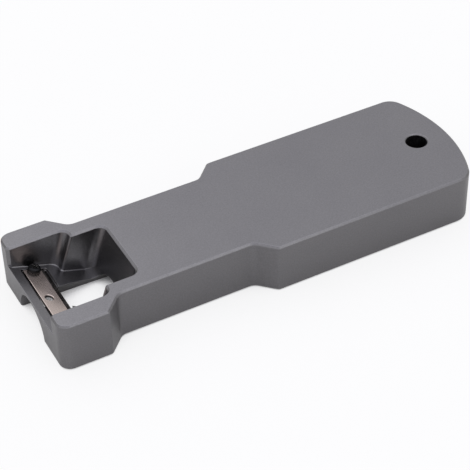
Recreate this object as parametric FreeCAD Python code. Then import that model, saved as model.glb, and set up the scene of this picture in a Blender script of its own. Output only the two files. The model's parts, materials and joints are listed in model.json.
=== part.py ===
import FreeCAD
import Part
import math
import os

# Fibre cable stripper, in millimetres: a one-piece machined handle, a blade clamped across a
# sloping bed in its head, and the two screws that clamp it.
#
# The origin is under the middle of the handle, on its flat underside. +X runs from the head to
# the tail, +Y to the left seen from the head, +Z up. The head's front face is the lowest X.

# Handle block
LENGTH = 124.4
WIDTH = 40.0
THICKNESS = 14.75
HEAD_LENGTH = 13.3
NECK_WIDTH = 30.3
NECK_END = 55.9
FLARE_ANGLE = 45.0
TAIL_ARC_RADIUS = 40.0
TAIL_CORNER_RADIUS = 5.0
HEAD_CORNER_RADIUS = 3.0
FLARE_HOLLOW_RADIUS = 3.0
FLARE_EDGE_RADIUS = 1.0
EDGE_CHAMFER = 0.5

# Hang hole near the tail
HANG_HOLE_DIAMETER = 5.8
HANG_HOLE_FROM_TAIL = 9.5
HANG_HOLE_CHAMFER = 0.3

# Bed: the sloping floor of the head's pocket. Lengths "along the bed" start at its front lip.
BED_ANGLE = 19.0
BED_FRONT_HEIGHT = 8.65

# Pocket over the bed, milled square to it
POCKET_SHOULDER = 3.2
POCKET_STEP_ALONG_BED = 13.7
POCKET_LENGTH_ALONG_BED = 22.45
POCKET_CORNER_RADIUS = 2.2
STEP_EDGE_ROUNDED_OVER_CHAMFER = 0.1
POCKET_REAR_FOOT_RADIUS = 2.5
POCKET_WALL_FOOT_RADIUS = 0.4
POCKET_MOUTH_CHAMFER = 0.8

# Cable channel in the underside, a round groove that sinks towards the tail and runs out
CHANNEL_DIAMETER = 14.9
CHANNEL_AXIS_ABOVE_BASE = 0.2
CHANNEL_ANGLE = 6.7
CHANNEL_MOUTH_DIAMETER = 15.4
CHANNEL_MOUTH_DEPTH = 5.0

# Blade, ground on one side of its rear edge
BLADE_LENGTH = 24.0
BLADE_WIDTH = 6.6
BLADE_THICKNESS = 0.7
BLADE_BEVEL_ANGLE = 22.0
BLADE_HOLE_DIAMETER = 2.2
BLADE_HOLE_FROM_BACK = 2.2
BLADE_NOTCHES_FROM_BACK = 2.9
BLADE_BACK_ALONG_BED = 3.35
BLADE_STANDS_PROUD = 0.05

# Seat that the blade lies in
SEAT_GAP_BEHIND_BACK = 0.65
SEAT_GAP_AT_EDGE = 0.2
SEAT_GAP_AT_ENDS = 0.3
SEAT_CORNER_RADIUS = 0.5

# Clamp screws, M2 with pan heads and cross recesses
SCREW_DIAMETER = 2.0
SCREW_LENGTH = 4.5
SCREW_HEAD_DIAMETER = 3.5
SCREW_HEAD_HEIGHT = 1.3
SCREW_HEAD_ROUNDING = 0.7
SCREW_TIP_CHAMFER = 0.3
SCREW_INSIDE_BLADE_END = 0.4
SCREW_HEAD_TO_WALL = 0.35
RECESS_ARM_WIDTH = 0.5
RECESS_SPAN = 2.1
RECESS_DEPTH = 0.8
SCREW_HOLE_CLEARANCE = 0.03
SCREW_NOTCH_CLEARANCE = 0.15
SCREW_TIP_ROOM = 0.6

# How far a cutting tool starts outside the metal
OVERRUN = 10.0

FRONT_X = -LENGTH / 2
TAIL_X = LENGTH / 2
SEAT_DEPTH = BLADE_THICKNESS - BLADE_STANDS_PROUD
BLADE_HOLE_ALONG_BED = BLADE_BACK_ALONG_BED + BLADE_HOLE_FROM_BACK
SCREW_ALONG_BED = BLADE_BACK_ALONG_BED + BLADE_NOTCHES_FROM_BACK
SCREW_Y = BLADE_LENGTH / 2 - SCREW_INSIDE_BLADE_END
POCKET_FRONT_HALF_WIDTH = SCREW_Y + SCREW_HEAD_DIAMETER / 2 + SCREW_HEAD_TO_WALL


def vec(x, y, z):
    return FreeCAD.Vector(x, y, z)


def sloped(shape, angle, height):
    """Lay a shape on an axis that starts at the front face and falls towards the tail."""
    turn = FreeCAD.Rotation(vec(0, 1, 0), angle)
    place = FreeCAD.Placement(vec(FRONT_X, 0, height), turn)
    laid = shape.copy()
    laid.Placement = place.multiply(shape.Placement)
    return laid


def on_bed(shape):
    """X along the bed, Z square to it, with Z = 0 on its surface."""
    return sloped(shape, BED_ANGLE, BED_FRONT_HEIGHT)


def along_channel(shape):
    """X along the channel's axis."""
    return sloped(shape, CHANNEL_ANGLE, CHANNEL_AXIS_ABOVE_BASE)


def prism(points, bottom, top):
    """Upright prism over a closed outline of (x, y) points."""
    corners = [vec(x, y, bottom) for x, y in points]
    wire = Part.makePolygon(corners + corners[:1])
    return Part.Face(wire).extrude(vec(0, 0, top - bottom))


def round_upright_edges(shape, places, radius):
    """Round the upright edges that stand at the given (x, y) places."""
    chosen = []
    for edge in shape.Edges:
        start, end = edge.Vertexes[0].Point, edge.Vertexes[-1].Point
        upright = math.hypot(start.x - end.x, start.y - end.y) < 1e-6 and start.z != end.z
        near = any(math.hypot(start.x - x, start.y - y) < 1e-3 for x, y in places)
        if upright and near:
            chosen.append(edge)
    return shape.makeFillet(radius, chosen)


def both_sides(points):
    """The given (x, y) points and their mirror images across the middle plane."""
    return [(x, side * y) for x, y in points for side in (1, -1)]


def level_edges(shape, height):
    """Edges that lie wholly at one height."""
    chosen = []
    for edge in shape.Edges:
        box = edge.BoundBox
        if box.ZLength < 1e-6 and abs(box.ZMin - height) < 1e-6:
            chosen.append(edge)
    return chosen


def tail_arc(start_y, end_y):
    """The part of the tail's arch between two Y positions."""
    centre_x = TAIL_X - TAIL_ARC_RADIUS
    ends = []
    for y in (start_y, (start_y + end_y) / 2, end_y):
        ends.append(vec(centre_x + math.sqrt(TAIL_ARC_RADIUS**2 - y**2), y, 0))
    return Part.Arc(*ends).toShape()


def handle_block():
    """Plan outline with a wide head, a waisted neck and an arched tail, chamfered all round."""
    half, neck_half = WIDTH / 2, NECK_WIDTH / 2
    flare = (half - neck_half) / math.tan(math.radians(FLARE_ANGLE))
    head_end = FRONT_X + HEAD_LENGTH
    neck_start = head_end + flare
    neck_end = FRONT_X + NECK_END
    shoulder = neck_end + flare
    arc_drop = TAIL_ARC_RADIUS - math.sqrt(TAIL_ARC_RADIUS**2 - half**2)
    tail_corner = TAIL_X - arc_drop

    far_side = [
        (FRONT_X, half),
        (head_end, half),
        (neck_start, neck_half),
        (neck_end, neck_half),
        (shoulder, half),
        (tail_corner, half),
    ]
    near_side = [(x, -y) for x, y in reversed(far_side)]
    sides = Part.makePolygon([vec(x, y, 0) for x, y in near_side + far_side])
    tail = [tail_arc(half, 0), tail_arc(0, -half)]
    outline = Part.Wire(sides.Edges + tail)
    block = Part.Face(outline).extrude(vec(0, 0, THICKNESS))

    block = round_upright_edges(block, both_sides([(FRONT_X, half)]), HEAD_CORNER_RADIUS)
    hollows = both_sides([(neck_start, neck_half), (neck_end, neck_half)])
    block = round_upright_edges(block, hollows, FLARE_HOLLOW_RADIUS)
    points = both_sides([(head_end, half), (shoulder, half)])
    block = round_upright_edges(block, points, FLARE_EDGE_RADIUS)
    return round_upright_edges(block, both_sides([(tail_corner, half)]), TAIL_CORNER_RADIUS)


def pocket_tool():
    """What the milling cutter removes over the bed: a stepped plan with a rounded rear foot."""
    front_half, rear_half = POCKET_FRONT_HALF_WIDTH, POCKET_FRONT_HALF_WIDTH - POCKET_SHOULDER
    step, end = POCKET_STEP_ALONG_BED, POCKET_LENGTH_ALONG_BED
    reach = THICKNESS + OVERRUN
    far_side = [(-OVERRUN, front_half), (step, front_half), (step, rear_half), (end, rear_half)]
    near_side = [(x, -y) for x, y in reversed(far_side)]
    plan = prism(far_side + near_side, 0, reach)
    inner_corners = both_sides([(step, front_half), (end, rear_half)])
    plan = round_upright_edges(plan, inner_corners, POCKET_CORNER_RADIUS)
    step_edge_radius = EDGE_CHAMFER + STEP_EDGE_ROUNDED_OVER_CHAMFER
    plan = round_upright_edges(plan, both_sides([(step, rear_half)]), step_edge_radius)

    front = -OVERRUN
    wall_feet = [edge for edge in level_edges(plan, 0) if edge.BoundBox.XMax > front + 1e-3]
    plan = plan.makeFillet(POCKET_WALL_FOOT_RADIUS, wall_feet)

    foot = POCKET_REAR_FOOT_RADIUS
    diagonal = foot * math.sin(math.radians(45))
    rounding = Part.Arc(
        vec(end - foot, 0, 0),
        vec(end - foot + diagonal, 0, foot - diagonal),
        vec(end, 0, foot),
    ).toShape()
    straight = Part.makePolygon(
        [vec(end, 0, foot), vec(end, 0, reach), vec(-OVERRUN, 0, reach), vec(-OVERRUN, 0, 0),
         vec(end - foot, 0, 0)]
    )
    side_view = Part.Face(Part.Wire([rounding] + straight.Edges))
    side_view.translate(vec(0, -front_half, 0))
    return on_bed(plan.common(side_view.extrude(vec(0, 2 * front_half, 0))))


def mouth_edge_tool():
    """Chamfers the pocket's two upright front edges, from the top down to the bed."""
    foot_y = POCKET_FRONT_HALF_WIDTH - POCKET_WALL_FOOT_RADIUS
    rim_y = POCKET_FRONT_HALF_WIDTH + POCKET_MOUTH_CHAMFER
    inner_x = FRONT_X + rim_y - foot_y
    outer_x = FRONT_X - OVERRUN
    above_bed = on_bed(Part.makeBox(
        2 * OVERRUN, WIDTH, THICKNESS + OVERRUN, vec(-OVERRUN, -WIDTH / 2, 0)
    ))
    wedges = []
    for side in (1, -1):
        corners = [(inner_x, side * foot_y), (outer_x, side * foot_y),
                   (outer_x, side * (rim_y + OVERRUN))]
        wedges.append(prism(corners, 0, THICKNESS + OVERRUN))
    return Part.makeCompound(wedges).common(above_bed)


def channel_tool():
    """Round groove for the cable, with a flared mouth at the front face."""
    radius, mouth = CHANNEL_DIAMETER / 2, CHANNEL_MOUTH_DIAMETER / 2
    groove = Part.makeCylinder(radius, LENGTH + OVERRUN, vec(-OVERRUN, 0, 0), vec(1, 0, 0))
    spread = (mouth - radius) / CHANNEL_MOUTH_DEPTH
    start = -mouth * math.sin(math.radians(CHANNEL_ANGLE)) - OVERRUN
    depth = CHANNEL_MOUTH_DEPTH + OVERRUN
    flare = Part.makeCone(mouth + spread * OVERRUN, radius, depth, vec(start, 0, 0), vec(1, 0, 0))
    return along_channel(groove.fuse(flare))


def seat_tool():
    """Shallow recess in the bed for the blade."""
    front = BLADE_BACK_ALONG_BED - SEAT_GAP_BEHIND_BACK
    rear = BLADE_BACK_ALONG_BED + BLADE_WIDTH + SEAT_GAP_AT_EDGE
    half = BLADE_LENGTH / 2 + SEAT_GAP_AT_ENDS
    corners = both_sides([(front, half)]) + both_sides([(rear, -half)])
    seat = prism(corners, -SEAT_DEPTH, BLADE_THICKNESS)
    return on_bed(round_upright_edges(seat, corners, SEAT_CORNER_RADIUS))


def screw_places():
    """Y of the far and the near screw."""
    return {"far_screw": SCREW_Y, "near_screw": -SCREW_Y}


def screw_hole_tool(y):
    radius = SCREW_DIAMETER / 2 + SCREW_HOLE_CLEARANCE
    bottom = BLADE_STANDS_PROUD - SCREW_LENGTH - SCREW_TIP_ROOM
    hole = Part.makeCylinder(radius, SCREW_HEAD_HEIGHT - bottom, vec(SCREW_ALONG_BED, y, bottom))
    return on_bed(hole)


def hang_hole_tool():
    """Through hole with a countersunk rim on both faces."""
    x = TAIL_X - HANG_HOLE_FROM_TAIL
    radius = HANG_HOLE_DIAMETER / 2
    rim = radius + HANG_HOLE_CHAMFER
    bore = Part.makeCylinder(radius, THICKNESS, vec(x, 0, 0))
    lower = Part.makeCone(rim, radius, HANG_HOLE_CHAMFER, vec(x, 0, 0), vec(0, 0, 1))
    upper = Part.makeCone(rim, radius, HANG_HOLE_CHAMFER, vec(x, 0, THICKNESS), vec(0, 0, -1))
    return bore.fuse([lower, upper])


def body():
    block = handle_block().cut(pocket_tool()).cut(mouth_edge_tool())
    rims = level_edges(block, THICKNESS) + level_edges(block, 0)
    block = block.makeChamfer(EDGE_CHAMFER, rims)
    tools = [channel_tool(), seat_tool(), hang_hole_tool()]
    tools += [screw_hole_tool(y) for y in screw_places().values()]
    for tool in tools:
        block = block.cut(tool)
    return block


def blade():
    """Flat steel blade with a central hole, an open notch at each end and a bevelled edge."""
    top, bottom = BLADE_STANDS_PROUD, BLADE_STANDS_PROUD - BLADE_THICKNESS
    back = BLADE_BACK_ALONG_BED
    edge = back + BLADE_WIDTH
    bevel_start = edge - BLADE_THICKNESS / math.tan(math.radians(BLADE_BEVEL_ANGLE))
    half = BLADE_LENGTH / 2
    section = [
        vec(back, -half, bottom), vec(edge, -half, bottom), vec(bevel_start, -half, top),
        vec(back, -half, top),
    ]
    strip = Part.Face(Part.makePolygon(section + section[:1])).extrude(vec(0, BLADE_LENGTH, 0))
    hole = Part.makeCylinder(
        BLADE_HOLE_DIAMETER / 2, BLADE_THICKNESS, vec(BLADE_HOLE_ALONG_BED, 0, bottom)
    )
    strip = strip.cut(hole)
    notch_radius = SCREW_DIAMETER / 2 + SCREW_NOTCH_CLEARANCE
    for y in screw_places().values():
        round_end = Part.makeCylinder(notch_radius, BLADE_THICKNESS, vec(SCREW_ALONG_BED, y, bottom))
        mouth = prism(
            [(SCREW_ALONG_BED - notch_radius, y), (SCREW_ALONG_BED + notch_radius, y),
             (SCREW_ALONG_BED + notch_radius, 2 * y), (SCREW_ALONG_BED - notch_radius, 2 * y)],
            bottom, top,
        )
        strip = strip.cut(round_end.fuse(mouth))
    return on_bed(strip)


def screw(y):
    """Pan head with a cross recess on a plain shank."""
    seat = BLADE_STANDS_PROUD
    crown = seat + SCREW_HEAD_HEIGHT
    head = Part.makeCylinder(SCREW_HEAD_DIAMETER / 2, SCREW_HEAD_HEIGHT, vec(0, 0, seat))
    head = head.makeFillet(SCREW_HEAD_ROUNDING, level_edges(head, crown))
    shank = Part.makeCylinder(SCREW_DIAMETER / 2, SCREW_LENGTH, vec(0, 0, seat - SCREW_LENGTH))
    shank = shank.makeChamfer(SCREW_TIP_CHAMFER, level_edges(shank, seat - SCREW_LENGTH))
    whole = head.fuse(shank)
    arm, span = RECESS_ARM_WIDTH / 2, RECESS_SPAN / 2
    for across, along in ((arm, span), (span, arm)):
        corners = [(-across, -along), (across, -along), (across, along), (-across, along)]
        whole = whole.cut(prism(corners, crown - RECESS_DEPTH, crown + RECESS_DEPTH))
    whole.translate(vec(SCREW_ALONG_BED, y, 0))
    return on_bed(whole)


def main():
    nodes = {"body": body(), "blade": blade()}
    for name, y in screw_places().items():
        nodes[name] = screw(y)
    os.makedirs("parts", exist_ok=True)
    for name, shape in nodes.items():
        count, volume = len(shape.Solids), round(shape.Volume, 2)
        print(name, "solids", count, "valid", shape.isValid(), "volume", volume)
        shape.exportStep("parts/" + name + ".step")


main()
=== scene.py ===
# %% [markdown]
# # A fibre cable stripper
#
# The tool is one block of grey anodised aluminium, with a blade clamped across a sloping pocket in
# its head. The block is already exact, so it comes in as the fixed frame and only gets its finish.
# The blade and its two screws are so small that eased edges and threads make them look real, so
# they are modelled again here with those details. Then come the studio and the camera.

# %% Load the frame
import json
import math

import bpy
from mathutils import Matrix, Vector


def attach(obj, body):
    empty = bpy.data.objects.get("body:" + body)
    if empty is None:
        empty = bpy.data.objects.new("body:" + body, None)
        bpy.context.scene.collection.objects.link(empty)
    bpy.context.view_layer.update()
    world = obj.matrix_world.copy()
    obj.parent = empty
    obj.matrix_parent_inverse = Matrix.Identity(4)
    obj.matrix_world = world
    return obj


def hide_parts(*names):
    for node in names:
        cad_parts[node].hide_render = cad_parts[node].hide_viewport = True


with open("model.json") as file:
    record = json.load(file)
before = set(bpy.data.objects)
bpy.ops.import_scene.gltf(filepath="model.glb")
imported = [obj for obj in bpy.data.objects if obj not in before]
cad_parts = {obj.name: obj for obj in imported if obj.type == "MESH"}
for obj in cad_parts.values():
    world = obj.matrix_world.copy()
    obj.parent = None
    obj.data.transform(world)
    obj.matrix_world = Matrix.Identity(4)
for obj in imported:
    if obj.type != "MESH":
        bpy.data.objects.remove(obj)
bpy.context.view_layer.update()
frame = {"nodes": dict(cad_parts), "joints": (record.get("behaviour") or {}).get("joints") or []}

MM = 0.001
print("nodes:", sorted(frame["nodes"]))

# %% [markdown]
# ## Where the blade lies
#
# Both screws stand square to the sloping bed, and their axes start on the blade's upper face. So
# the two joints say all there is to know about the slope. Their axis is the bed's upward normal,
# and the point half-way between them lies on the blade's upper face, midway between the two
# notches that the screws pass through. A matrix built from them lets each small piece be modelled
# flat, where it is easy, and then be laid on the slope.

# %% The bed's own axes
screw_joints = {joint["child"]: joint for joint in frame["joints"]}
seats = {name: Vector(joint["pos_m"]) for name, joint in screw_joints.items()}
bed_normal = Vector(screw_joints["far_screw"]["axis"]).normalized()
bed_across = Vector((0, 1, 0))
bed_along = bed_across.cross(bed_normal)
seat_middle = (seats["far_screw"] + seats["near_screw"]) / 2


def bed_matrix(origin):
    """X runs down the bed, Y across it, Z square to it, and the origin is a point on the blade."""
    turn = Matrix((bed_along, bed_across, bed_normal)).transposed()
    return Matrix.Translation(origin) @ turn.to_4x4()


bed_angle = math.degrees(math.acos(bed_normal.z))
print("the bed falls at", round(bed_angle, 2), "degrees; seat middle at", seat_middle[:])

# %% [markdown]
# ## Helpers for modelling
#
# Operators act on whatever is selected, and the loaded block is selected after loading. So a new
# piece starts with nothing selected. In edit mode, parts of the piece are picked by a test on their
# place, which stays true when the number of faces changes.

# %% Selecting and finishing
# A point this close to a face counts as on it.
NEAR = 0.01 * MM


def deselect_all():
    """Leave no object selected."""
    bpy.ops.object.select_all(action="DESELECT")


def only(piece):
    """Make one piece the selected and active one."""
    deselect_all()
    piece.select_set(True)
    bpy.context.view_layer.objects.active = piece


def pick(piece, part, test):
    """Select the vertices, edges or faces whose points all pass a test, in edit mode."""
    bpy.ops.object.mode_set(mode="OBJECT")
    mesh = piece.data
    for group in (mesh.vertices, mesh.edges, mesh.polygons):
        group.foreach_set("select", [False] * len(group))
    found = 0
    for item in getattr(mesh, part):
        points = [item.co] if part == "vertices" else [mesh.vertices[i].co for i in item.vertices]
        item.select = all(test(point) for point in points)
        found += item.select
    bpy.ops.object.mode_set(mode="EDIT")
    return found


def apply_modifier(piece, kind, **settings):
    """Add a modifier, set it and apply it."""
    only(piece)
    modifier = piece.modifiers.new(kind.title(), kind)
    for name, value in settings.items():
        setattr(modifier, name, value)
    bpy.ops.object.modifier_apply(modifier=modifier.name)


def carve(piece, cutter):
    """Cut one closed shape out of another and drop the cutter."""
    apply_modifier(piece, "BOOLEAN", object=cutter, operation="DIFFERENCE", solver="EXACT")
    bpy.data.objects.remove(cutter)


def lay_on_bed(piece, origin):
    """Put a piece that was modelled flat on the slope, with its place in its mesh."""
    piece.data.transform(bed_matrix(origin))
    piece.data.update()


def count(piece):
    """Triangles of a piece."""
    return sum(len(face.vertices) - 2 for face in piece.data.polygons)


print("helpers ready")

# %% [markdown]
# ## Helpers for finishes
#
# A colour is written as the hex value that a paint program shows. Shaders work in linear light, so
# one function turns one into the other. One more function adds a node with its settings, values
# and links, which keeps a whole finish readable as a short list. The Mix node's sockets share their
# names, so they go by number: for colours 6 and 7 are mixed into output 2, and for plain numbers
# 2 and 3 are mixed into output 0. Socket 0 is the share of the second one.

# %% Colour and nodes
def colour(hex_value):
    """Linear RGBA of an sRGB hex value."""
    channels = [int(hex_value[i:i + 2], 16) / 255 for i in (1, 3, 5)]
    linear = [c / 12.92 if c <= 0.04045 else ((c + 0.055) / 1.055) ** 2.4 for c in channels]
    return (*linear, 1)


def add_node(material, kind, values=None, links=None, **settings):
    """Add a node, with settings by name and input values and links by socket."""
    tree = material.node_tree
    node = tree.nodes.new(kind)
    for name, value in settings.items():
        setattr(node, name, value)
    for socket, value in (values or {}).items():
        node.inputs[socket].default_value = value
    for socket, source in (links or {}).items():
        tree.links.new(source, node.inputs[socket])
    return node


def new_material(name):
    """A material with no nodes yet."""
    material = bpy.data.materials.new(name)
    material.use_nodes = True
    material.node_tree.nodes.clear()
    return material


# Noise seldom leaves the middle of its range, so a pattern is spread out from these two values.
NOISE_RANGE = {"From Min": 0.3, "From Max": 0.7}
print("a mid grey is", [round(c, 3) for c in colour("#808080")])

# %% [markdown]
# ## Finish: bead-blasted, anodised aluminium
#
# The block was milled, blasted with glass beads and then anodised grey. Blasting leaves pits about
# a tenth of a millimetre wide, so the metal has no mirror image but a soft, wide sheen. Walls that
# face the sky look pale, and walls that face other dark metal go nearly black, which is what makes
# the pocket read as deep. That needs a true metal and not a grey paint. The dye takes a little
# unevenly. The corners and chamfers are painted paler, a painted highlight for the light that their
# edges catch.

# %% Grain and dye
blasted = new_material("bead_blasted_anodised_aluminium")
block_place = add_node(blasted, "ShaderNodeTexCoord").outputs["Object"]

# Real pits are 0.1 mm wide, finer than the picture can show, so they are drawn 0.4 mm wide.
PIT_SIZE = 0.4 * MM
pits = add_node(
    blasted, "ShaderNodeTexNoise",
    values={"Scale": 1 / PIT_SIZE, "Detail": 2, "Roughness": 0.6}, links={"Vector": block_place},
)
SPECKLE = 0.09
speckle = add_node(
    blasted, "ShaderNodeMapRange",
    values={**NOISE_RANGE, "To Min": 1 - SPECKLE, "To Max": 1 + SPECKLE},
    links={"Value": pits.outputs["Fac"]},
)
DYE_PATCH = 16 * MM
patches = add_node(
    blasted, "ShaderNodeTexNoise",
    values={"Scale": 1 / DYE_PATCH, "Detail": 3, "Roughness": 0.55},
    links={"Vector": block_place},
)
dye = add_node(
    blasted, "ShaderNodeMix", data_type="RGBA",
    values={6: colour("#807F82"), 7: colour("#878688")}, links={0: patches.outputs["Fac"]},
)
speckled = add_node(
    blasted, "ShaderNodeVectorMath", operation="SCALE",
    links={0: dye.outputs[2], "Scale": speckle.outputs[0]},
)
print("pits of", PIT_SIZE / MM, "mm in dye patches of", DYE_PATCH / MM, "mm")

# %% Painted highlight on the corners
# A rounded normal differs from the plain one only close to an edge, which finds the corners. The
# agreement of the two is 1 on a flat, and it falls as the surface turns. The corners found so are
# painted paler, a painted highlight for the light that their edges catch.
CORNER_BREAK = 0.2 * MM
CORNER_HIGHLIGHT_STARTS = 0.995
CORNER_HIGHLIGHT_FULL = 0.93
PAINTED_HIGHLIGHT_SHARE = 0.5
rounded = add_node(blasted, "ShaderNodeBevel", values={"Radius": CORNER_BREAK}, samples=6)
plain = add_node(blasted, "ShaderNodeNewGeometry").outputs["Normal"]
agreement = add_node(
    blasted, "ShaderNodeVectorMath", operation="DOT_PRODUCT",
    links={0: rounded.outputs[0], 1: plain},
)
# Paler corners: a painted highlight for the light that the chamfers catch.
painted_corner_highlight = add_node(
    blasted, "ShaderNodeMapRange",
    values={"From Min": CORNER_HIGHLIGHT_STARTS, "From Max": CORNER_HIGHLIGHT_FULL, "To Min": 0, "To Max": PAINTED_HIGHLIGHT_SHARE},
    links={"Value": agreement.outputs["Value"]},
)
# The dye, with the painted highlight mixed in on the corners.
dye_and_painted_highlight = add_node(
    blasted, "ShaderNodeMix", data_type="RGBA",
    values={7: colour("#A5A4A7")}, links={0: painted_corner_highlight.outputs[0], 6: speckled.outputs[0]},
)
print(blasted.name, "has", len(blasted.node_tree.nodes), "nodes so far")

# %% Sheen and relief
SMUDGE = 3 * MM
PIT_DEPTH = 0.01 * MM
smudges = add_node(
    blasted, "ShaderNodeTexNoise",
    values={"Scale": 1 / SMUDGE, "Detail": 2}, links={"Vector": block_place},
)
sheen = add_node(
    blasted, "ShaderNodeMapRange",
    values={**NOISE_RANGE, "To Min": 0.28, "To Max": 0.33}, links={"Value": smudges.outputs["Fac"]},
)
relief = add_node(
    blasted, "ShaderNodeBump", values={"Strength": 0.6, "Distance": PIT_DEPTH},
    links={"Height": pits.outputs["Fac"], "Normal": rounded.outputs[0]},
)
blasted_shader = add_node(
    blasted, "ShaderNodeBsdfPrincipled", values={"Metallic": 1.0},
    links={
        "Base Color": dye_and_painted_highlight.outputs[2],
        "Roughness": sheen.outputs[0],
        "Normal": relief.outputs[0],
    },
)
add_node(blasted, "ShaderNodeOutputMaterial", links={"Surface": blasted_shader.outputs[0]})

block = frame["nodes"]["body"]
block.data.materials.clear()
block.data.materials.append(blasted)
print("the block now wears", block.data.materials[0].name)

# %% [markdown]
# ## The blade
#
# The blade is a strip of tool steel, 24 mm long and 0.7 mm thick, with one long side ground down
# to an edge. Its blunt back has its upper edge broken a little wider than the others, and that
# break catches a thin bright line. A cube is stretched to the strip, its upper edge on the cutting
# side is drawn back for the grind, and the upper edge of its back is bevelled.

# %% Strip and grind
BLADE_LENGTH = 24 * MM
BLADE_THICKNESS = 0.7 * MM
BLADE_BACK = -2.9 * MM
BLADE_EDGE = 3.7 * MM
GRIND_ANGLE = math.radians(22)
BACK_BREAK = 0.14 * MM

deselect_all()
bpy.ops.mesh.primitive_cube_add(
    size=1,
    location=((BLADE_BACK + BLADE_EDGE) / 2, 0, -BLADE_THICKNESS / 2),
    scale=(BLADE_EDGE - BLADE_BACK, BLADE_LENGTH, BLADE_THICKNESS),
)
blade = bpy.context.active_object
blade.name = "ground_blade"
bpy.ops.object.transform_apply(location=True, rotation=False, scale=True)
pick(blade, "vertices", lambda p: p.x > BLADE_EDGE - NEAR and p.z > -NEAR)
bpy.ops.transform.translate(value=(-BLADE_THICKNESS / math.tan(GRIND_ANGLE), 0, 0))
pick(blade, "edges", lambda p: p.x < BLADE_BACK + NEAR and p.z > -NEAR)
bpy.ops.mesh.bevel(offset=BACK_BREAK, segments=2, affect="EDGES")
bpy.ops.object.mode_set(mode="OBJECT")
print("strip in mm:", [round(side / MM, 2) for side in blade.dimensions])

# %% [markdown]
# ## The blade's hole and notches
#
# A round hole goes through the middle of the blade, and at each end an open notch lets a screw
# pass. A bright ring runs round the hole, where its edge was countersunk. All of them are carved
# with plain closed shapes: a cylinder for what is round, a box for a notch's open mouth and a cone
# for the ring. Carving leaves the faces round it exactly flat, which pulling vertices would not.

# %% Hole and notches
HOLE_RADIUS = 1.1 * MM
HOLE_X = -0.7 * MM
HOLE_RIM = 0.16 * MM
NOTCH_RADIUS = 1.15 * MM
ROUND_SIDES = 64
THROUGH = 4 * BLADE_THICKNESS


def round_cutter(radius, x, y):
    """An upright cylinder through the blade."""
    deselect_all()
    bpy.ops.mesh.primitive_cylinder_add(
        vertices=ROUND_SIDES, radius=radius, depth=THROUGH, location=(x, y, 0)
    )
    return bpy.context.active_object


carve(blade, round_cutter(HOLE_RADIUS, HOLE_X, 0))

# The cone widens at 45 degrees and rises past the upper face, so the ring is as wide as it is deep.
deselect_all()
bpy.ops.mesh.primitive_cone_add(
    vertices=ROUND_SIDES, radius1=HOLE_RADIUS - HOLE_RIM, radius2=HOLE_RADIUS + 2 * HOLE_RIM,
    depth=3 * HOLE_RIM, location=(HOLE_X, 0, -HOLE_RIM / 2),
)
carve(blade, bpy.context.active_object)
for seat in seats.values():
    side = math.copysign(1, seat.y)
    carve(blade, round_cutter(NOTCH_RADIUS, 0, seat.y))
    deselect_all()
    bpy.ops.mesh.primitive_cube_add(
        size=1, location=(0, seat.y + side * BLADE_LENGTH / 2, 0),
        scale=(2 * NOTCH_RADIUS, BLADE_LENGTH, THROUGH),
    )
    carve(blade, bpy.context.active_object)
print("blade has", count(blade), "triangles")

# %% [markdown]
# ## The blade's eased edges
#
# A strip with knife-sharp corners looks like card. Real steel is tumbled in a barrel, and every
# edge comes out a little eased. Carving leaves crumbs, which are vertices that nearly meet and
# flats split into slivers. A bevel that runs into them collapses and shades in streaks, so the
# crumbs are merged first. Then each sharp edge gets a narrow bevel, and weighted normals let the
# large faces shade exactly flat, with the turn of the light left to the bevels.

# %% Merge and ease
CARVING_CRUMB = 0.02 * MM
FLAT_WITHIN = math.radians(1)
SHARP_FROM = math.radians(40)
SMOOTH_WITHIN = math.radians(12)
EASE = 0.04 * MM

only(blade)
bpy.ops.object.mode_set(mode="EDIT")
bpy.ops.mesh.select_all(action="SELECT")
bpy.ops.mesh.remove_doubles(threshold=CARVING_CRUMB)
bpy.ops.mesh.dissolve_limited(angle_limit=FLAT_WITHIN)
bpy.ops.object.mode_set(mode="OBJECT")
print("merged blade has", count(blade), "triangles")

apply_modifier(
    blade, "BEVEL", width=EASE, segments=2, limit_method="ANGLE", angle_limit=SHARP_FROM
)
only(blade)
bpy.ops.object.shade_smooth_by_angle(angle=SMOOTH_WITHIN)
apply_modifier(blade, "WEIGHTED_NORMAL", mode="FACE_AREA", weight=100, keep_sharp=True)
lay_on_bed(blade, seat_middle)
print("eased blade has", count(blade), "triangles")

# %% [markdown]
# ## Finish: surface-ground steel
#
# The flat of the blade was ground along its length by a fine wheel, and the cutting side was
# ground again straight across. Steel like this has a warm grey colour and stretches every
# reflection across its grinding lines. The lines are a noise pattern squeezed in one direction,
# which is first turned level with the bed. The flat and the cutting side are one recipe with the
# lines turned by a quarter. The cutting side's much darker tint is painted shade, for the dark
# pocket that it mirrors.

# %% Steel with grinding lines
CLOUD = 2.5 * MM
CLOUD_SHARE = 0.35
SCRATCH_DEPTH = 0.004 * MM
ROUGHNESS_SPREAD = 0.1


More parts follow.
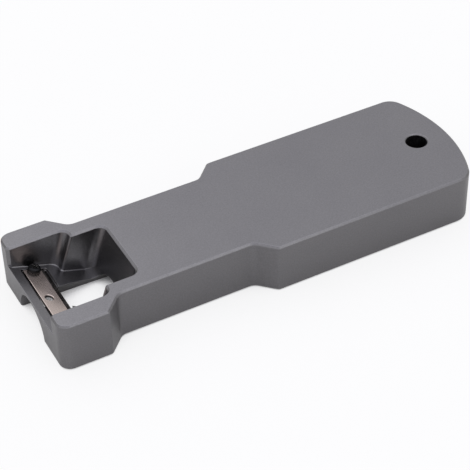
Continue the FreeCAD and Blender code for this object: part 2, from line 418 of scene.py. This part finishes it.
def ground_steel(name, line_length, line_width, along_blade, tints, roughness):
    """Steel whose fine lines run along the blade or straight across it."""
    steel = new_material(name)
    blade_place = add_node(steel, "ShaderNodeTexCoord").outputs["Object"]
    stretch = (1 / line_width, 1 / line_length, 1 / line_width)
    if not along_blade:
        stretch = (1 / line_length, 1 / line_width, 1 / line_width)
    level = add_node(
        steel, "ShaderNodeMapping", vector_type="POINT",
        values={"Rotation": (0, -math.radians(bed_angle), 0)}, links={"Vector": blade_place},
    )
    squeezed = add_node(
        steel, "ShaderNodeVectorMath", operation="MULTIPLY",
        values={1: stretch}, links={0: level.outputs[0]},
    )
    lines = add_node(
        steel, "ShaderNodeTexNoise",
        values={"Scale": 1, "Detail": 4, "Roughness": 0.65}, links={"Vector": squeezed.outputs[0]},
    )
    cloud = add_node(
        steel, "ShaderNodeTexNoise",
        values={"Scale": 1 / CLOUD, "Detail": 2}, links={"Vector": blade_place},
    )
    mixed = add_node(
        steel, "ShaderNodeMix", data_type="FLOAT",
        values={0: CLOUD_SHARE}, links={2: lines.outputs["Fac"], 3: cloud.outputs["Fac"]},
    )
    shade = add_node(
        steel, "ShaderNodeMix", data_type="RGBA",
        values={6: colour(tints[0]), 7: colour(tints[1])}, links={0: mixed.outputs[0]},
    )
    gloss = add_node(
        steel, "ShaderNodeMapRange",
        values={**NOISE_RANGE, "To Min": roughness, "To Max": roughness + ROUGHNESS_SPREAD},
        links={"Value": lines.outputs["Fac"]},
    )
    scratches = add_node(
        steel, "ShaderNodeBump", values={"Strength": 0.4, "Distance": SCRATCH_DEPTH},
        links={"Height": lines.outputs["Fac"]},
    )
    shader = add_node(
        steel, "ShaderNodeBsdfPrincipled", values={"Metallic": 1.0},
        links={
            "Base Color": shade.outputs[2],
            "Roughness": gloss.outputs[0],
            "Normal": scratches.outputs[0],
        },
    )
    add_node(steel, "ShaderNodeOutputMaterial", links={"Surface": shader.outputs[0]})
    return steel


# Real grinding lines are about 0.02 mm apart. They are drawn up to 0.2 mm apart, so that they show.
flat_steel = ground_steel(
    "surface_ground_steel", line_length=5 * MM, line_width=0.2 * MM, along_blade=True,
    tints=("#C4B6AF", "#DDCFC7"), roughness=0.2,
)
# The cutting side's dark tints are painted shade, for the dark pocket that it mirrors.
grind_steel_painted_dark = ground_steel(
    "cross_ground_steel_painted_dark", line_length=2 * MM, line_width=0.15 * MM, along_blade=False,
    tints=("#7D7872", "#928D86"), roughness=0.16,
)
print("steels:", flat_steel.name, "and", grind_steel_painted_dark.name)

# %% [markdown]
# ## Finish: hardening scale and painted shade
#
# Only the flats and the cutting side were ground after the blade was hardened. Its upright sides
# and the eased edges below them kept the dull, brown-black scale of the furnace. Their dark colour
# is also painted shade for the narrow gap behind the blade: without it they would mirror the sky,
# and that gap would look bright.

# %% Scale and painted shade
scale = new_material("hardening_scale_and_painted_shade")
scale_place = add_node(scale, "ShaderNodeTexCoord").outputs["Object"]
SCALE_PATCH = 0.8 * MM
scale_patches = add_node(
    scale, "ShaderNodeTexNoise", values={"Scale": 1 / SCALE_PATCH, "Detail": 3},
    links={"Vector": scale_place},
)
# Dark scale, whose colour also paints the shade in the gap behind the blade.
scale_and_shade_colour = add_node(
    scale, "ShaderNodeMix", data_type="RGBA",
    values={6: colour("#2B2826"), 7: colour("#4A4643")}, links={0: scale_patches.outputs["Fac"]},
)
scale_shader = add_node(
    scale, "ShaderNodeBsdfPrincipled", values={"Metallic": 0.9, "Roughness": 0.5},
    links={"Base Color": scale_and_shade_colour.outputs[2]},
)
add_node(scale, "ShaderNodeOutputMaterial", links={"Surface": scale_shader.outputs[0]})
print(scale.name, "in patches of", SCALE_PATCH / MM, "mm")

# %% [markdown]
# ## Which face wears what
#
# A face is known by where it looks. The cutting side looks along the grind's own normal. The
# upright sides look level or downwards, but not straight down as the underside does. All other
# faces keep the first finish, which is the flat's.

# %% Steel on the faces
GRIND_SLOT = 1
SCALE_AND_SHADE_SLOT = 2
# These are cosines of the angle between a face's normal and another direction.
SAME_WAY = 0.995
STRAIGHT_DOWN = -0.99
LOOKS_UP = 0.3

for finish in (flat_steel, grind_steel_painted_dark, scale):
    blade.data.materials.append(finish)
grind_normal = bed_normal * math.cos(GRIND_ANGLE) + bed_along * math.sin(GRIND_ANGLE)
on_grind = [face for face in blade.data.polygons if face.normal.dot(grind_normal) > SAME_WAY]
for face in on_grind:
    face.material_index = GRIND_SLOT
# The upright sides get the dark scale, which also paints the shade of that gap.
on_sides = [
    face for face in blade.data.polygons
    if STRAIGHT_DOWN < face.normal.dot(bed_normal) < LOOKS_UP
]
for face in on_sides:
    face.material_index = SCALE_AND_SHADE_SLOT
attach(blade, "body")
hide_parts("blade")
print("faces on the cutting side:", len(on_grind), "and on the upright sides:", len(on_sides))

# %% [markdown]
# ## The clamp screws
#
# Two small pan-head screws hold the blade. Each has a domed rim, a cross recess whose arms narrow
# towards the bottom, and a thread that climbs 0.4 mm a turn. A cylinder with a rounded rim is the
# head. One screw is modelled and then copied.

# %% Head
HEAD_RADIUS = 1.75 * MM
HEAD_HEIGHT = 1.3 * MM
HEAD_ROUNDING = 0.7 * MM

deselect_all()
bpy.ops.mesh.primitive_cylinder_add(
    vertices=72, radius=HEAD_RADIUS, depth=HEAD_HEIGHT, location=(0, 0, HEAD_HEIGHT / 2)
)
screw = bpy.context.active_object
screw.name = "far_clamp_screw"
bpy.ops.object.transform_apply(location=True, rotation=False, scale=False)
rim = pick(screw, "edges", lambda p: p.z > HEAD_HEIGHT - NEAR)
bpy.ops.mesh.bevel(offset=HEAD_ROUNDING, segments=9, profile=0.5, affect="EDGES")
bpy.ops.object.mode_set(mode="OBJECT")
print("rounded", rim, "rim edges; head has", count(screw), "triangles")

# %% [markdown]
# ## The cross recess
#
# A driver's tip is a cross with tapered wings, and the recess is its print. Two bars are made
# whose lower ends are narrower than their upper ends, and both are carved out of the head.

# %% Cross recess
ARM_WIDTH = 0.55 * MM
ARM_SPAN = 2.1 * MM
RECESS_DEPTH = 0.8 * MM
TAPER = 0.55
CREASE_FROM = math.radians(35)

for turn in (0, math.pi / 2):
    deselect_all()
    bpy.ops.mesh.primitive_cube_add(
        size=1, location=(0, 0, HEAD_HEIGHT), scale=(ARM_SPAN, ARM_WIDTH, 2 * RECESS_DEPTH)
    )
    arm = bpy.context.active_object
    bpy.ops.object.transform_apply(location=True, rotation=False, scale=True)
    pick(arm, "polygons", lambda p: p.z < HEAD_HEIGHT)
    bpy.ops.transform.resize(value=(TAPER, TAPER, 1), center_override=(0, 0, HEAD_HEIGHT))
    bpy.ops.object.mode_set(mode="OBJECT")
    arm.data.transform(Matrix.Rotation(turn, 4, "Z"))
    carve(screw, arm)
apply_modifier(
    screw, "BEVEL", width=EASE, segments=2, limit_method="ANGLE", angle_limit=CREASE_FROM
)
print("head with its recess has", count(screw), "triangles")

# %% [markdown]
# ## The thread
#
# A metric thread is a ridge with a flat crest an eighth of a pitch wide. Its foot is three quarters
# of a pitch wide, and it stands 0.5413 pitches out of its core. The Screw modifier winds that one
# small profile up the core, which is how a lathe makes it too. The foot reaches a little into the
# core, so that no gap opens between them.

# %% Core
PITCH = 0.4 * MM
CREST_RADIUS = 1.0 * MM
THREAD_DEPTH = 0.5413 * PITCH
ROOT_RADIUS = CREST_RADIUS - THREAD_DEPTH
SHANK_LENGTH = 4.5 * MM
TIP_BREAK = 0.25 * MM

deselect_all()
bpy.ops.mesh.primitive_cylinder_add(
    vertices=48, radius=ROOT_RADIUS, depth=SHANK_LENGTH, location=(0, 0, -SHANK_LENGTH / 2)
)
core = bpy.context.active_object
bpy.ops.object.transform_apply(location=True, rotation=False, scale=False)
pick(core, "edges", lambda p: p.z < -SHANK_LENGTH + NEAR)
bpy.ops.mesh.bevel(offset=TIP_BREAK, segments=2, affect="EDGES")
bpy.ops.object.mode_set(mode="OBJECT")
print("core has", count(core), "triangles")

# %% Profile
HALF_CREST = PITCH / 16
HALF_FOOT = 3 * PITCH / 8
FOOT_SINK = 0.02 * MM
FOOT_RADIUS = ROOT_RADIUS - FOOT_SINK
PLAIN_TIP = 0.3 * MM
THREAD_START = -SHANK_LENGTH + PLAIN_TIP

deselect_all()
bpy.ops.mesh.primitive_plane_add(size=1, location=(0, 0, 0))
thread = bpy.context.active_object
profile = [
    (FOOT_RADIUS, -HALF_FOOT), (CREST_RADIUS, -HALF_CREST),
    (CREST_RADIUS, HALF_CREST), (FOOT_RADIUS, HALF_FOOT),
]
plane_corners = sorted(thread.data.vertices, key=lambda v: math.atan2(v.co.y, v.co.x))
for plane_corner, (radius, height) in zip(plane_corners, profile):
    plane_corner.co = (radius, 0, THREAD_START + height)
only(thread)
bpy.ops.object.mode_set(mode="EDIT")
bpy.ops.mesh.select_all(action="SELECT")
bpy.ops.mesh.delete(type="ONLY_FACE")
bpy.ops.object.mode_set(mode="OBJECT")
print("profile has", len(thread.data.edges), "edges")

# %% Thread
TURNS = 10
STEPS_PER_TURN = 28

apply_modifier(
    thread, "SCREW", axis="Z", angle=2 * math.pi, screw_offset=PITCH, iterations=TURNS,
    steps=STEPS_PER_TURN, render_steps=STEPS_PER_TURN,
)
only(thread)
bpy.ops.object.mode_set(mode="EDIT")
bpy.ops.mesh.select_all(action="SELECT")
bpy.ops.mesh.fill_holes(sides=4)
bpy.ops.mesh.normals_make_consistent(inside=False)
bpy.ops.object.mode_set(mode="OBJECT")
print("thread has", count(thread), "triangles over", TURNS, "turns")

# %% [markdown]
# ## One screw becomes two
#
# Head, core and thread become one piece, which is copied with its own mesh. Two screws are never
# driven home at the same angle, so each is turned by its own amount before it is laid on its seat.

# %% Join, copy and seat
ROUND_WITHIN = math.radians(32)
HOME_DEGREES = {"far_screw": 34, "near_screw": 71}

deselect_all()
for part in (screw, core, thread):
    part.select_set(True)
bpy.context.view_layer.objects.active = screw
bpy.ops.object.join()
only(screw)
bpy.ops.object.shade_smooth_by_angle(angle=ROUND_WITHIN)
near_screw = screw.copy()
near_screw.data = screw.data.copy()
near_screw.name = "near_clamp_screw"
bpy.context.scene.collection.objects.link(near_screw)

clamp_screws = {"far_screw": screw, "near_screw": near_screw}
for node_name, piece in clamp_screws.items():
    piece.data.transform(Matrix.Rotation(math.radians(HOME_DEGREES[node_name]), 4, "Z"))
    lay_on_bed(piece, seats[node_name])
    print(piece.name, "has", count(piece), "triangles")

# %% [markdown]
# ## Finish: black oxide on steel
#
# The screws were dipped in a hot salt bath that turns the steel's own surface black. The layer is
# thin, so the metal still shines through it in a dark, satin way. The edges of the head and of the
# cross are painted pale. This is partly rubbed wear, where the driver and the fingers bare the
# steel, and partly a painted highlight for the glints that those edges catch. The edges are found as
# the block's corners are, by how far a rounded normal leaves the plain one.

# %% Black oxide
oxide = new_material("black_oxide_steel")
screw_place = add_node(oxide, "ShaderNodeTexCoord").outputs["Object"]
MOTTLE = 0.5 * MM
mottle = add_node(
    oxide, "ShaderNodeTexNoise",
    values={"Scale": 1 / MOTTLE, "Detail": 3}, links={"Vector": screw_place},
)
blacks = add_node(
    oxide, "ShaderNodeMix", data_type="RGBA",
    values={6: colour("#1C1C1E"), 7: colour("#2A2A2C")}, links={0: mottle.outputs["Fac"]},
)
dullness = add_node(
    oxide, "ShaderNodeMapRange",
    values={**NOISE_RANGE, "To Min": 0.16, "To Max": 0.3}, links={"Value": mottle.outputs["Fac"]},
)
print(oxide.name, "mottled over", MOTTLE / MM, "mm")

# %% Rubbed edges and painted glints
RUB_AND_GLINT_WIDTH = 0.15 * MM
RUB_AND_GLINT_STARTS = 0.99
RUB_AND_GLINT_FULL = 0.85
RUB_AND_GLINT_SHARE = 0.85
oxide_round = add_node(oxide, "ShaderNodeBevel", values={"Radius": RUB_AND_GLINT_WIDTH}, samples=4)
oxide_plain = add_node(oxide, "ShaderNodeNewGeometry").outputs["Normal"]
oxide_agreement = add_node(
    oxide, "ShaderNodeVectorMath", operation="DOT_PRODUCT",
    links={0: oxide_round.outputs[0], 1: oxide_plain},
)
rubbed_and_glint_mask = add_node(
    oxide, "ShaderNodeMapRange",
    values={"From Min": RUB_AND_GLINT_STARTS, "From Max": RUB_AND_GLINT_FULL, "To Min": 0, "To Max": RUB_AND_GLINT_SHARE},
    links={"Value": oxide_agreement.outputs["Value"]},
)
# Pale steel on the edges: rubbed wear, and a painted highlight for the glints.
worn_and_glint_colour = add_node(
    oxide, "ShaderNodeMix", data_type="RGBA",
    values={7: colour("#B4B0AB")}, links={0: rubbed_and_glint_mask.outputs[0], 6: blacks.outputs[2]},
)
oxide_shader = add_node(
    oxide, "ShaderNodeBsdfPrincipled", values={"Metallic": 0.8},
    links={"Base Color": worn_and_glint_colour.outputs[2], "Roughness": dullness.outputs[0]},
)
add_node(oxide, "ShaderNodeOutputMaterial", links={"Surface": oxide_shader.outputs[0]})
for node_name, piece in clamp_screws.items():
    piece.data.materials.clear()
    piece.data.materials.append(oxide)
    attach(piece, node_name)
    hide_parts(node_name)
print("both screws wear", oxide.name)

# %% [markdown]
# ## Studio
#
# The picture is a product shot on white, with soft light from all round and no hard shadow. White
# paper under even light is only pale grey, and such a picture is brightened until the paper is
# plain white. So the camera sees plain white, and the metal mirrors mostly the paper and the light
# tent as they were. The floor and the world both use the one function that shares this out.

# %% What each kind of ray sees
MIRRORED_SHARE = 0.15


def share_of_white(owner):
    """How far a ray sees plain white: the camera's fully, a mirrored or refracted one in part."""
    rays = add_node(owner, "ShaderNodeLightPath").outputs
    bounced = add_node(
        owner, "ShaderNodeMath", operation="MAXIMUM",
        links={0: rays["Is Glossy Ray"], 1: rays["Is Transmission Ray"]},
    )
    part = add_node(
        owner, "ShaderNodeMath", operation="MULTIPLY",
        values={1: MIRRORED_SHARE}, links={0: bounced.outputs[0]},
    )
    return add_node(
        owner, "ShaderNodeMath", operation="MAXIMUM",
        links={0: rays["Is Camera Ray"], 1: part.outputs[0]},
    ).outputs[0]


print("metal sees", MIRRORED_SHARE, "of the plain white")

# %% [markdown]
# ## Floor
#
# The floor is one large sheet of paper. Out in the open it is washed out to white, but under the
# block and close beside it the soft shadow stays, or the block would seem to float. How much of
# the sky a spot sees tells the two apart, and an Ambient Occlusion node measures that.

# %% Floor
FLOOR_SIZE = 3
SHELTER_REACH = 20 * MM
# The next two are shares of the sky that a spot on the paper sees.
SHELTERED = 0.12
OPEN = 0.45
WASHED_AT_MOST = 0.8

deselect_all()
bpy.ops.mesh.primitive_plane_add(size=FLOOR_SIZE, location=(0, 0, 0))
floor = bpy.context.active_object
floor.name = "floor_sheet"
paper = new_material("white_paper_sweep")
paper_seen = share_of_white(paper)
paper_colour = add_node(
    paper, "ShaderNodeMix", data_type="RGBA",
    values={6: colour("#D6D5D0"), 7: colour("#FFFFFF")}, links={0: paper_seen},
)
lit_paper = add_node(paper, "ShaderNodeBsdfDiffuse", links={"Color": paper_colour.outputs[2]})
blown_out = add_node(paper, "ShaderNodeEmission", values={"Strength": 1.0})
open_sky = add_node(
    paper, "ShaderNodeAmbientOcclusion", values={"Distance": SHELTER_REACH}, samples=16
)
washed = add_node(
    paper, "ShaderNodeMapRange",
    values={"From Min": SHELTERED, "From Max": OPEN, "To Min": 0, "To Max": WASHED_AT_MOST},
    links={"Value": open_sky.outputs["AO"]},
)
washing = add_node(
    paper, "ShaderNodeMath", operation="MULTIPLY", links={0: paper_seen, 1: washed.outputs[0]}
)
paper_shader = add_node(
    paper, "ShaderNodeMixShader",
    links={0: washing.outputs[0], 1: lit_paper.outputs[0], 2: blown_out.outputs[0]},
)
add_node(paper, "ShaderNodeOutputMaterial", links={"Surface": paper_shader.outputs[0]})
floor.data.materials.append(paper)
print("floor is", floor.dimensions.x, "m wide")

# %% [markdown]
# ## Light tent
#
# The world is the tent, which is dim at the horizon and bright overhead. That makes the block's
# upper face paler than its sides, as in any room lit from the ceiling. The light from above is a
# trace bluer. The camera sees plain white in its place.

# %% World
HORIZON_LEVEL = 0.38
ZENITH_LEVEL = 1.21

studio = bpy.data.worlds.new("pale_studio")
bpy.context.scene.world = studio
studio.use_nodes = True
studio.node_tree.nodes.clear()
direction = add_node(studio, "ShaderNodeTexCoord").outputs["Generated"]
height = add_node(studio, "ShaderNodeSeparateXYZ", links={"Vector": direction}).outputs["Z"]
level_of_light = add_node(
    studio, "ShaderNodeMapRange",
    values={"From Min": 0, "From Max": 1, "To Min": HORIZON_LEVEL, "To Max": ZENITH_LEVEL},
    links={"Value": height},
)
tint_of_light = add_node(
    studio, "ShaderNodeMix", data_type="RGBA",
    values={6: colour("#FFFEFA"), 7: colour("#F4F4FF")}, links={0: height},
)
tent = add_node(
    studio, "ShaderNodeBackground",
    links={"Color": tint_of_light.outputs[2], "Strength": level_of_light.outputs[0]},
)
plain_white = add_node(
    studio, "ShaderNodeBackground", values={"Color": colour("#FFFFFF"), "Strength": 1.0}
)
either = add_node(
    studio, "ShaderNodeMixShader",
    links={0: share_of_white(studio), 1: tent.outputs[0], 2: plain_white.outputs[0]},
)
add_node(studio, "ShaderNodeOutputWorld", links={"Surface": either.outputs[0]})
print("the tent goes from", HORIZON_LEVEL, "at the horizon to", ZENITH_LEVEL, "overhead")

# %% [markdown]
# ## Lamps
#
# Even light leaves metal dull. A weak softbox behind the tool lays a sheen on its upper face that
# grows towards the head. A small one on the camera's side is mirrored in the chamfers along the
# upper edges, which show as thin bright lines.

# %% Two softboxes
def softbox(name, stand, aim, size, power):
    """A square lamp that points at a spot."""
    lamp = bpy.data.lights.new(name, "AREA")
    lamp.shape = "SQUARE"
    lamp.size = size
    lamp.energy = power
    holder = bpy.data.objects.new(name, lamp)
    holder.location = stand
    holder.rotation_euler = (Vector(aim) - Vector(stand)).to_track_quat("-Z", "Y").to_euler()
    bpy.context.scene.collection.objects.link(holder)


softbox("back_softbox", stand=(-0.05, 0.6, 0.6), aim=(0, 0, 0), size=0.5, power=0.28)
softbox("edge_softbox", stand=(0.12, -0.35, 0.35), aim=(-0.05, 0, 0), size=0.2, power=0.06)

# %% [markdown]
# ## Camera
#
# The lines of the block fix the view: a long lens, about 41 degrees above the table, that looks
# across the block and a little towards its tail, and is tipped by a degree and a half. The place
# and the two directions below make the block's corners fall where they do in the picture.

# %% Camera
LENS = 126.49
SENSOR_WIDTH = 36
CAMERA_PLACE = Vector((-154.413, -293.307, 292.325)) * MM

camera_data = bpy.data.cameras.new("product_camera")
camera_data.lens = LENS
camera_data.sensor_width = SENSOR_WIDTH
camera = bpy.data.objects.new("product_camera", camera_data)
bpy.context.scene.collection.objects.link(camera)
bpy.context.scene.camera = camera
camera_right = Vector((0.880911, -0.472836, -0.020544)).normalized()
camera_ahead = Vector((0.344591, 0.670531, -0.656997)).normalized()
camera_up = camera_right.cross(camera_ahead)
turned = Matrix((camera_right, camera_up, -camera_ahead)).transposed().to_4x4()
camera.matrix_world = Matrix.Translation(CAMERA_PLACE) @ turned
bpy.context.scene.view_settings.view_transform = "Standard"
print("camera at", [round(value / MM) for value in camera.location], "mm")
